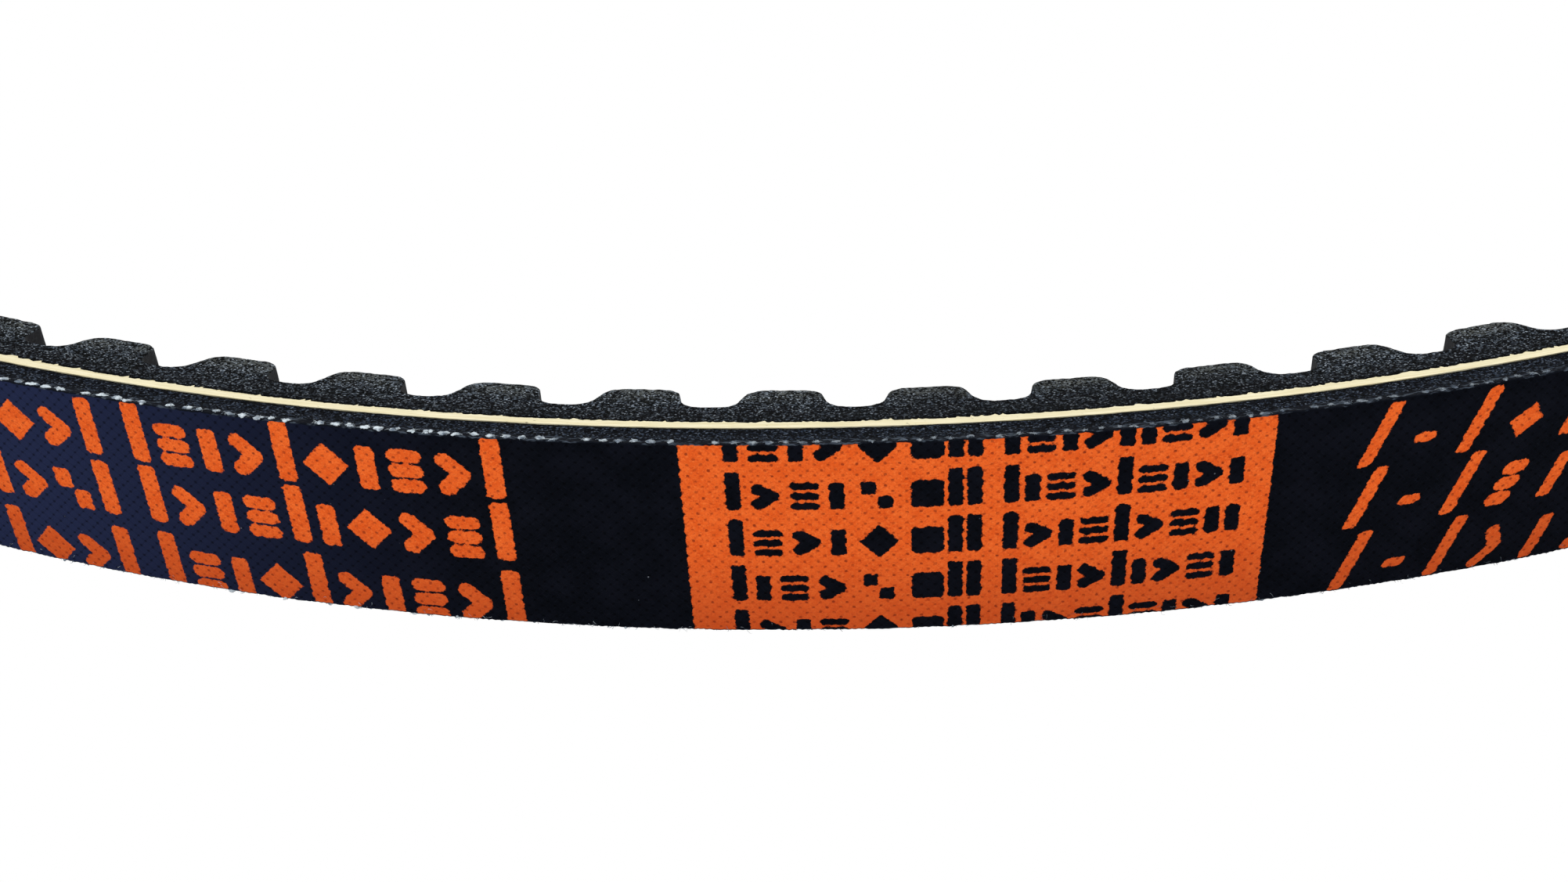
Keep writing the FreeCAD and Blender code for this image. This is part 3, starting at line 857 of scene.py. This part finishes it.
def add_tufts(soup, arc, a, b):
    """Cut ends of the cover's yarns along both edges."""
    for side in (1, -1):
        for k in range(int(ceil(a / TUFT_PITCH)), int(floor(b / TUFT_PITCH)) + 1):
            rng = np.random.default_rng(abs(k) * 4 + (1 if side > 0 else 2) + 7)
            theta = k * TUFT_PITCH + rng.uniform(-0.12, 0.12) * TUFT_PITCH
            if min(theta - a, b - theta) < 0.4 * TUFT_PITCH:
                continue
            tuft = build_tuft(arc, k, side, rng, theta)
            if tuft is None:
                continue
            (along, depth, height), faces = tuft
            z = side * (half_width(np.clip(depth, 0, 2)) + height)
            soup.add((theta + along / BACK_R, depth, z), faces)


def add_loose_fibres(soup, arc, a, b):
    """A few loose fibres stand on the back near the lower edge."""
    rng = np.random.default_rng(int(arc.start * 100))
    t = np.linspace(0, 1, 5)
    for _ in range(int((b - a) * BACK_R * arc.choose((0.9, 0.3)))):
        w = rng.random(9)
        angle = (w[1] - 0.5) * 2.6 + (-pi / 2 if w[2] < 0.6 else 0.3)
        dx, dy = curl_path(t, 0.12 + 0.30 * w[3], angle, curl=(w[4] - 0.5) * 2.2)
        x = (a + (b - a) * (0.02 + 0.96 * w[0])) * BACK_R + dx
        y = np.maximum(-HALF + 0.10 + 0.5 * w[5] ** 2 + dy, -HALF - 0.16)
        height = 0.01 + 0.07 * t * w[6]
        (x, y, height), faces = fibre(x, y, height, 0.011 * (1 - 0.5 * t), angle)
        soup.add((x / BACK_R, -height, y), faces)


def build_yarn_ends(arc):
    a, b = radians(arc.start), radians(arc.end)
    soup = TriangleSoup()
    add_tufts(soup, arc, a, b)
    add_loose_fibres(soup, arc, a, b)
    place, faces = soup.joined()
    verts = points(*place)
    turn = inside_out(faces.min(1), faces.max(1), six_volumes(verts, *faces.T))
    faces = np.where(turn[:, None], faces[:, ::-1], faces)
    name = "yarn_ends_" + arc.name
    mesh = bpy.data.meshes.new(name)
    mesh.from_pydata(verts.tolist(), [], faces.tolist())
    mesh.update()
    add_attribute(mesh, "belt", belt_coordinates(*place))
    shade_smooth(mesh)
    return link_object(name, mesh)


# ---------------------------------------------------------------- shader helper
def srgb(*channels):
    """Linear colour from 0..255 sRGB channels."""
    parts = (channel / 255 for channel in channels)
    return tuple(c / 12.92 if c <= 0.04045 else ((c + 0.055) / 1.055) ** 2.4
                 for c in parts) + (1.0,)


class Shader:
    """Small helper for building a material's node tree."""

    def __init__(self, name):
        self.mat = bpy.data.materials.new(name)
        self.mat.use_nodes = True
        self.tree = self.mat.node_tree
        self.bsdf = self.find("BSDF_PRINCIPLED")

    def find(self, kind):
        return next(node for node in self.tree.nodes if node.type == kind)

    def new(self, kind, **props):
        node = self.tree.nodes.new(kind)
        for key, value in props.items():
            setattr(node, key, value)
        return node

    def put(self, socket, value):
        """Link a socket or set a plain value."""
        if isinstance(value, bpy.types.NodeSocket):
            self.tree.links.new(value, socket)
        else:
            socket.default_value = value

    def attribute(self, name, output="Fac"):
        return self.new("ShaderNodeAttribute", attribute_name=name).outputs[output]

    def belt(self):
        """Belt coordinates: the vector, then arc length, width and depth."""
        vector = self.attribute("belt", "Vector")
        node = self.new("ShaderNodeSeparateXYZ")
        self.put(node.inputs[0], vector)
        return vector, *node.outputs

    def math(self, operation, a, b=0.0):
        node = self.new("ShaderNodeMath", operation=operation)
        self.put(node.inputs[0], a)
        self.put(node.inputs[1], b)
        return node.outputs[0]

    def multiply(self, a, b):
        return self.math("MULTIPLY", a, b)

    def level(self, value, gain, base):
        return self.math("ADD", self.multiply(value, gain), base)

    def centred(self, value, amount, middle=0.5):
        return self.multiply(self.math("SUBTRACT", value, middle), amount)

    def weighted_sum(self, *terms):
        """Sum of (value, weight) pairs; a negative weight takes away."""
        total = None
        for value, weight in terms:
            part = value if weight == 1 else self.multiply(value, abs(weight))
            if total is None:
                total = part
            else:
                total = self.math("ADD" if weight > 0 else "SUBTRACT", total, part)
        return total

    def scaled(self, vector, factors):
        node = self.new("ShaderNodeVectorMath", operation="MULTIPLY")
        self.put(node.inputs[0], vector)
        self.put(node.inputs[1], factors)
        return node.outputs[0]

    def noise(self, vector, scale, detail=2.0, rough=0.6):
        node = self.new("ShaderNodeTexNoise")
        self.put(node.inputs["Vector"], vector)
        self.put(node.inputs["Scale"], scale)
        self.put(node.inputs["Detail"], detail)
        self.put(node.inputs["Roughness"], rough)
        return node.outputs["Fac"]

    def cells(self, vector, scale):
        """Distance to the nearest of scattered points."""
        node = self.new("ShaderNodeTexVoronoi")
        self.put(node.inputs["Vector"], vector)
        self.put(node.inputs["Scale"], scale)
        return node.outputs["Distance"]

    def fade(self, value, start, end, low=0.0, high=1.0):
        """Smooth step from low at start to high at end."""
        node = self.new("ShaderNodeMapRange", interpolation_type="SMOOTHSTEP")
        self.put(node.inputs["Value"], value)
        self.put(node.inputs["From Min"], start)
        self.put(node.inputs["From Max"], end)
        self.put(node.inputs["To Min"], low)
        self.put(node.inputs["To Max"], high)
        return node.outputs["Result"]

    def layer(self, under, over, mask, strength=None):
        """Lay one colour over another where the mask is 1."""
        if strength is not None:
            mask = self.multiply(mask, strength)
        node = self.new("ShaderNodeMix", data_type="RGBA", blend_type="MIX")
        self.put(node.inputs[0], mask)
        self.put(node.inputs[6], under)
        self.put(node.inputs[7], over)
        return node.outputs[2]

    def bump(self, height, strength, distance):
        """Distance is in metres."""
        node = self.new("ShaderNodeBump")
        self.put(node.inputs["Strength"], strength)
        self.put(node.inputs["Distance"], distance)
        self.put(node.inputs["Height"], height)
        return node.outputs["Normal"]

    def finish(self, color, rough, specular, normal=None):
        self.put(self.bsdf.inputs["Base Color"], color)
        self.put(self.bsdf.inputs["Roughness"], rough)
        self.put(self.bsdf.inputs["Specular IOR Level"], specular)
        if normal is not None:
            self.put(self.bsdf.inputs["Normal"], normal)
        return self.mat


# ---------------------------------------------------------------- fabric material
def thread_texture(n, p):
    """Fine threads of both yarn systems, at 45 degrees to the belt."""
    turned = n.new("ShaderNodeVectorRotate", rotation_type="Z_AXIS")
    n.put(turned.inputs["Vector"], p)
    n.put(turned.inputs["Angle"], radians(45))
    systems = [n.noise(n.scaled(turned.outputs[0], stretch), scale=1.0, rough=0.55)
               for stretch in ((2.0, 17.0, 1.0), (17.0, 2.0, 1.0))]
    return n.math("MAXIMUM", *systems)


def yarn_gaps(n, p, s, z):
    """Masks of the pin holes at yarn corners and of the grooves between yarns."""
    per_yarn = 1 / sqrt(2) / YARN
    jitter = n.centred(n.noise(p, scale=1.3), amount=0.35)

    def line_distance(mix_in, combine):
        place = n.math(combine, n.multiply(n.math(mix_in, s, z), per_yarn), jitter)
        fraction = n.math("FRACT", n.math("ADD", place, 0.5))
        return n.math("ABSOLUTE", n.math("SUBTRACT", fraction, 0.5))

    a = line_distance("ADD", "ADD")
    b = line_distance("SUBTRACT", "SUBTRACT")
    corner = n.math("SQRT", n.math("ADD", n.multiply(a, a), n.multiply(b, b)))
    corner = n.math("ADD", corner, n.centred(n.noise(p, scale=4.5), amount=0.16))
    hole = n.fade(corner, start=0.22, end=0.08)
    groove = n.fade(n.math("MINIMUM", a, b), start=0.10, end=0.02)
    return hole, groove


def cloth_color(n, p, s, threads, hole, groove):
    """Rubberised cloth: near black; a stretch left of the front has a painted bluish sheen."""
    cloud = n.noise(p, scale=0.35, detail=3.0)
    color = n.layer(srgb(7, 9, 15), srgb(13, 15, 23), n.fade(cloud, start=0.35, end=0.70))
    # painted sheen: bluish light from the left, laid into the colour of a stretch left of the
    # front
    left_painted_sheen = n.multiply(n.fade(s, start=-18.0, end=-52.0), n.fade(s, start=-95.0, end=-70.0))
    color = n.layer(color, srgb(34, 41, 70), left_painted_sheen)
    color = n.layer(color, srgb(25, 29, 41), n.fade(threads, start=0.55, end=0.80), strength=0.45)
    color = n.layer(color, srgb(4, 5, 8), groove, strength=0.16)
    color = n.layer(color, srgb(2, 2, 4), hole, strength=0.5)
    lint = n.multiply(n.fade(n.cells(p, scale=0.9), start=0.055, end=0.030),
                      n.fade(n.noise(p, scale=0.5, rough=0.5), start=0.55, end=0.62))
    return n.layer(color, srgb(120, 126, 134), lint, strength=0.7)


def ink_mask(n, p):
    """Ink with edges that are ragged where it meets the weave."""
    rag = n.centred(n.noise(p, scale=3.6, detail=3.0, rough=0.70), amount=0.34)
    weave_rag = n.centred(n.attribute("weave"), amount=-0.10, middle=0.45)
    edge = n.weighted_sum((n.attribute("ink"), 1), (rag, 1), (weave_rag, 1))
    return n.fade(edge, start=0.030, end=-0.030)


def ink_color(n, p, z, hole, groove):
    color = n.layer(srgb(226, 88, 26), srgb(240, 104, 38),
                    n.fade(n.noise(p, scale=0.9, detail=3.0), start=0.3, end=0.7))
    color = n.layer(color, srgb(250, 124, 56),
                    n.fade(n.noise(p, scale=6.0), start=0.50, end=0.68), strength=0.50)
    color = n.layer(color, srgb(190, 66, 26),
                    n.fade(n.noise(p, scale=7.5), start=0.48, end=0.34), strength=0.60)
    color = n.layer(color, srgb(176, 60, 24), groove, strength=0.10)
    # the lower part of the back is duller
    color = n.layer(color, srgb(178, 68, 30), n.fade(z, start=1.0, end=-6.5), strength=0.55)
    # ink missed in the pin holes, then worn spots
    missed = n.fade(n.noise(p, scale=1.5), start=0.34, end=0.66, low=0.25, high=1.0)
    color = n.layer(color, srgb(124, 36, 14), n.multiply(hole, missed), strength=0.80)
    worn = n.fade(n.noise(p, scale=5.5, detail=3.0, rough=0.7), start=0.68, end=0.76)
    return n.layer(color, srgb(120, 46, 24), worn, strength=0.55)


def cover_material():
    n = Shader("back_fabric")
    p, s, z, _ = n.belt()
    threads = thread_texture(n, p)
    hole, groove = yarn_gaps(n, p, s, z)
    face = n.attribute("face")
    inked = n.multiply(ink_mask(n, p), face)
    cloth = cloth_color(n, p, s, threads, hole, groove)
    color = n.layer(cloth, ink_color(n, p, z, hole, groove), inked)
    # the cut edge of the cloth shows grey yarn between black rubber
    yarn_noise = n.noise(n.scaled(p, (1.6, 1.0, 5.0)), scale=1.0)
    cut_color = n.layer(srgb(12, 15, 22), srgb(62, 70, 80),
                        n.fade(yarn_noise, start=0.50, end=0.66))
    color = n.layer(color, cut_color, n.math("SUBTRACT", 1.0, face))
    rough = n.weighted_sum((n.level(threads, gain=0.25, base=0.48), 1), (inked, 0.10))
    speck = n.noise(p, scale=9.0)
    height = n.weighted_sum((threads, 0.6), (speck, 0.4), (inked, 0.25), (hole, -0.9),
                            (groove, -0.12))
    return n.finish(color, rough, specular=n.level(inked, gain=0.05, base=0.018),
                    normal=n.bump(height, strength=0.7, distance=0.00005))


# ---------------------------------------------------------------- rubber materials
GUM_BLACK = srgb(2, 3, 4)


def flank_color(n, p, dark, mid, light, bright, gain, density):
    """Cut fibre-filled rubber: black with dense pale specks.
    Gives its colour, its height and its finest noise."""
    warp = n.noise(p, scale=1.6)
    grain = n.noise(p, scale=4.4)
    fine = n.noise(p, scale=5.2, detail=1.0, rough=0.5)
    dots = n.multiply(n.fade(n.cells(p, scale=4.8), start=0.38, end=0.22),
                      n.fade(n.noise(p, scale=3.2, rough=0.5), start=0.46, end=0.54))
    dash_cells = n.cells(n.scaled(p, (1.0, 2.4, 2.4)), scale=3.2)
    dashes = n.multiply(n.fade(dash_cells, start=0.26, end=0.12),
                        n.fade(n.noise(p, scale=1.9, rough=0.5), start=0.48, end=0.58))
    pits = n.fade(n.cells(p, scale=4.1), start=0.38, end=0.22)
    color = n.layer(dark, mid, n.fade(grain, start=0.44, end=0.58))
    specks = n.multiply(n.fade(fine, start=0.50, end=0.56), n.fade(grain, start=0.44, end=0.54))
    specks = n.multiply(specks, density)
    color = n.layer(color, light, specks,
                    strength=n.fade(warp, start=0.36, end=0.62, low=0.45, high=1.0))
    color = n.layer(color, bright, n.math("MAXIMUM", dots, dashes),
                    strength=n.multiply(density, gain))
    color = n.layer(color, srgb(3, 4, 6), pits, strength=0.85)
    height = n.weighted_sum((grain, 0.7), (fine, 0.5), (pits, -0.45), (dots, 0.35))
    return color, height, fine


def wobbly_depth(n, p, depth, scale, amount):
    noise = n.noise(p, scale=scale, detail=3.0)
    return n.math("ADD", depth, n.centred(noise, amount=amount))


def tension_material():
    n = Shader("tension_rubber")
    p, _, _, depth = n.belt()
    color, height, fine = flank_color(
        n, p, dark=srgb(2, 3, 6), mid=srgb(10, 13, 20), light=srgb(47, 56, 70),
        bright=srgb(106, 117, 132), gain=0.62, density=1.0)
    # adhesion gum: a plain black line beside the cord
    gum = n.fade(wobbly_depth(n, p, depth, scale=1.9, amount=0.16),
                 start=GUM_TOP - 0.26, end=GUM_TOP - 0.14)
    color = n.layer(color, GUM_BLACK, gum)
    return n.finish(color, n.level(fine, gain=0.25, base=0.62), specular=0.02,
                    normal=n.bump(height, strength=0.9, distance=0.00008))


def cog_material():
    n = Shader("cogged_rubber")
    p, s, _, depth = n.belt()
    inner = n.fade(n.attribute("inner"), start=0.4, end=0.9)
    ragged_depth = n.weighted_sum((depth, 1), (n.noise(p, scale=0.8), 1.6))
    density = n.fade(ragged_depth, start=4.6, end=8.6, low=0.38, high=1.0)
    # one stretch of the front is cut cleaner, so its flank is darker
    off_clean = n.math("ABSOLUTE", n.math("SUBTRACT", s, 12.0))
    density = n.multiply(density, n.fade(off_clean, start=7.0, end=19.0, low=0.66, high=1.0))
    color, height, fine = flank_color(
        n, p, dark=srgb(1, 2, 3), mid=srgb(7, 9, 13), light=srgb(86, 96, 108),
        bright=srgb(170, 181, 192), gain=0.85, density=density)
    # painted light from above: the cut rubber is painted paler towards the crests, in patches
    crest_light_patches = n.fade(n.noise(p, scale=0.7), start=0.35, end=0.65, low=0.15, high=0.55)
    pale = n.multiply(n.fade(depth, start=6.4, end=9.1), crest_light_patches)
    color = n.layer(color, srgb(108, 111, 106), pale, strength=n.fade(fine, start=0.46, end=0.56))
    gum = n.fade(wobbly_depth(n, p, depth, scale=1.8, amount=0.22),
                 start=GUM_LOW + 0.30, end=GUM_LOW + 0.12)
    color = n.layer(color, GUM_BLACK, gum)
    # moulded skin of the cogs: darker and smoother, faint mould lines
    mould = n.noise(n.scaled(p, (0.6, 9.0, 0.6)), scale=1.0, rough=0.5)
    skin = n.layer(srgb(15, 16, 20), srgb(27, 29, 33),
                   n.fade(n.noise(p, scale=1.3, detail=3.0), start=0.3, end=0.7))
    skin = n.layer(skin, srgb(42, 44, 48), n.fade(mould, start=0.55, end=0.75), strength=0.4)
    skin = n.layer(skin, srgb(60, 63, 66), n.fade(fine, start=0.52, end=0.66), strength=0.35)
    color = n.layer(color, skin, inner)
    height = n.layer(height, n.weighted_sum((mould, 0.5), (fine, 0.2)), inner)
    return n.finish(color, n.level(fine, gain=0.22, base=0.58),
                    specular=n.level(inner, gain=0.20, base=0.02),
                    normal=n.bump(height, strength=0.9, distance=0.00008))


# ---------------------------------------------------------------- cord and yarn materials
def cord_material():
    n = Shader("tensile_cord")
    p = n.attribute("belt", "Vector")
    streak = n.noise(n.scaled(p, (0.35, 4.0, 9.0)), scale=1.0, detail=3.0)
    fine = n.noise(n.scaled(p, (1.2, 8.0, 26.0)), scale=1.0)
    patch = n.noise(p, scale=1.1, detail=3.0)
    color = n.layer(srgb(222, 210, 168), srgb(238, 230, 198),
                    n.fade(streak, start=0.3, end=0.7))
    color = n.layer(color, srgb(206, 194, 152), n.fade(fine, start=0.55, end=0.8), strength=0.35)
    color = n.layer(color, srgb(214, 196, 140), n.fade(patch, start=0.60, end=0.78), strength=0.35)
    smut = n.fade(n.noise(p, scale=2.6, detail=3.0, rough=0.7), start=0.66, end=0.74)
    color = n.layer(color, srgb(96, 88, 66), smut, strength=0.6)
    # only the cut face is pale
    color = n.layer(srgb(8, 8, 9), color, n.fade(n.attribute("raw"), start=0.35, end=0.85))
    height = n.weighted_sum((streak, 1), (fine, 0.7))
    return n.finish(color, rough=0.8, specular=0.10,
                    normal=n.bump(height, strength=0.7, distance=0.00005))


def yarn_material():
    n = Shader("yarn_ends")
    p, s, _, _ = n.belt()
    fine = n.noise(p, scale=14.0)
    color = n.layer(srgb(104, 116, 130), srgb(206, 216, 222),
                    n.fade(n.noise(p, scale=1.9), start=0.32, end=0.62))
    color = n.layer(color, srgb(120, 128, 136), n.fade(fine, start=0.55, end=0.75), strength=0.5)
    # the yarn ends are greyer towards the right
    greyer_to_right = n.fade(s, start=-26.0, end=4.0)
    color = n.layer(color, srgb(66, 75, 88), greyer_to_right, strength=0.66)
    return n.finish(color, rough=0.85, specular=0.08,
                    normal=n.bump(fine, strength=0.6, distance=0.00005))


# ---------------------------------------------------------------- build
# builder, CAD layer it replaces, slot, material
LAYERS = (
    (build_cover, "back_fabric", "back_fabric", cover_material()),
    (build_tension, "tension_rubber", "tension_rubber", tension_material()),
    (build_cords, "tensile_cords", "tensile_cord", cord_material()),
    (build_cogs, "cogged_rubber", "cogged_rubber", cog_material()),
    (build_yarn_ends, None, "back_fabric", yarn_material()),
)
for arc in ARCS:
    for build, layer, slot, material in LAYERS:
        obj = build(arc)
        obj.data.materials.append(material)
        attach(obj, arc, layer)


# ---------------------------------------------------------------- floor (metres)
def floor_material():
    n = Shader("floor_paper")
    position = n.new("ShaderNodeNewGeometry").outputs["Position"]
    grain = n.noise(position, scale=900.0, rough=0.5)
    color = n.layer((0.42, 0.42, 0.42, 1), (0.46, 0.46, 0.46, 1), grain)
    n.finish(color, rough=0.9, specular=0.0)
    # seen directly the paper is lit through from below, so it carries no shadow
    glow = n.new("ShaderNodeEmission")
    glow.inputs["Strength"].default_value = 1.0
    ray = n.new("ShaderNodeLightPath")
    both = n.new("ShaderNodeMixShader")
    n.put(both.inputs[0], ray.outputs["Is Camera Ray"])
    n.put(both.inputs[1], n.bsdf.outputs[0])
    n.put(both.inputs[2], glow.outputs[0])
    n.put(n.find("OUTPUT_MATERIAL").inputs["Surface"], both.outputs[0])
    return n.mat


def build_floor(half_size, z):
    mesh = bpy.data.meshes.new("floor")
    corners = [(x * half_size, y * half_size, z) for x, y in ((-1, -1), (1, -1), (1, 1), (-1, 1))]
    mesh.from_pydata(corners, [], [(0, 1, 2, 3)])
    floor_object = link_object("floor", mesh)
    mesh.materials.append(floor_material())


build_floor(half_size=3.0, z=-HALF * MM - 0.0003)


# ---------------------------------------------------------------- world and lights (metres)
def build_world(seen, lighting):
    """White all round, with one strength as seen and another as light."""
    world = bpy.data.worlds.new("studio")
    bpy.context.scene.world = world
    world.use_nodes = True
    tree = world.node_tree
    background = tree.nodes["Background"]
    background.inputs["Color"].default_value = (1.0, 1.0, 1.0, 1)
    path = tree.nodes.new("ShaderNodeLightPath")
    strength = tree.nodes.new("ShaderNodeMapRange")
    strength.inputs["To Min"].default_value = lighting
    strength.inputs["To Max"].default_value = seen
    tree.links.new(path.outputs["Is Camera Ray"], strength.inputs["Value"])
    tree.links.new(strength.outputs["Result"], background.inputs["Strength"])


def disk_light(name, place, target, size, power, color=(1, 1, 1)):
    light = bpy.data.lights.new(name, "AREA")
    light.shape = "DISK"
    light.size = size
    light.energy = power
    light.color = color
    obj = link_object(name, light)
    obj.location = place
    obj.rotation_mode = "QUATERNION"
    obj.rotation_quaternion = (Vector(target) - Vector(place)).to_track_quat("-Z", "Y")


build_world(seen=1.0, lighting=0.80)
disk_light("key_top", place=(0.10, 0.15, 0.9), target=(0, 0, 0), size=0.6, power=3.2)
disk_light("front_fill", place=(0.10, -0.64, 0.30), target=(0, -0.12, 0), size=0.40, power=0.9)
disk_light("fill_left", place=(-0.65, -0.75, 0.30), target=(0, -0.12, 0), size=0.45, power=1.5,
           color=(0.80, 0.90, 1.0))

# ---------------------------------------------------------------- camera
TARGET_Y = -149.7073            # the camera stands back from this point on the Y axis
CAMERA_DISTANCE = 112.15117
# radians
ELEVATION = 0.70803009
PITCH = -0.0478369              # these three turn the view off the target
YAW = -0.0367944
ROLL = -0.0263681
ORBIT = radians(0.1084)         # turn of the whole camera round the Z axis


def camera_matrix():
    backwards = np.array([0, -cos(ELEVATION), sin(ELEVATION)])
    place = (np.array([0, TARGET_Y, 0.0]) + CAMERA_DISTANCE * backwards) * MM
    tilt = ELEVATION + PITCH
    level_forward = np.array([0, cos(tilt), -sin(tilt)])
    level_right = np.array([1.0, 0, 0])
    level_up = np.cross(level_right, level_forward)
    forward = level_forward * cos(YAW) + level_right * sin(YAW)
    yawed_right = level_right * cos(YAW) - level_forward * sin(YAW)
    right = yawed_right * cos(ROLL) + level_up * sin(ROLL)
    up = level_up * cos(ROLL) - yawed_right * sin(ROLL)
    rows = np.stack([right, up, -forward, place], 1).tolist()
    return Matrix.Rotation(ORBIT, 4, "Z") @ Matrix((*rows, (0, 0, 0, 1)))


camera_data = bpy.data.cameras.new("camera")
camera_data.sensor_width = 36.0
camera_data.lens = 48.429756
camera_data.clip_start = 0.002
camera_data.clip_end = 20.0
camera = link_object("camera", camera_data)
camera.matrix_world = camera_matrix()
scene = bpy.context.scene
scene.camera = camera

scene.view_settings.view_transform = "Standard"
scene.view_settings.look = "None"
scene.view_settings.exposure = 0.0
scene.view_settings.gamma = 1.0
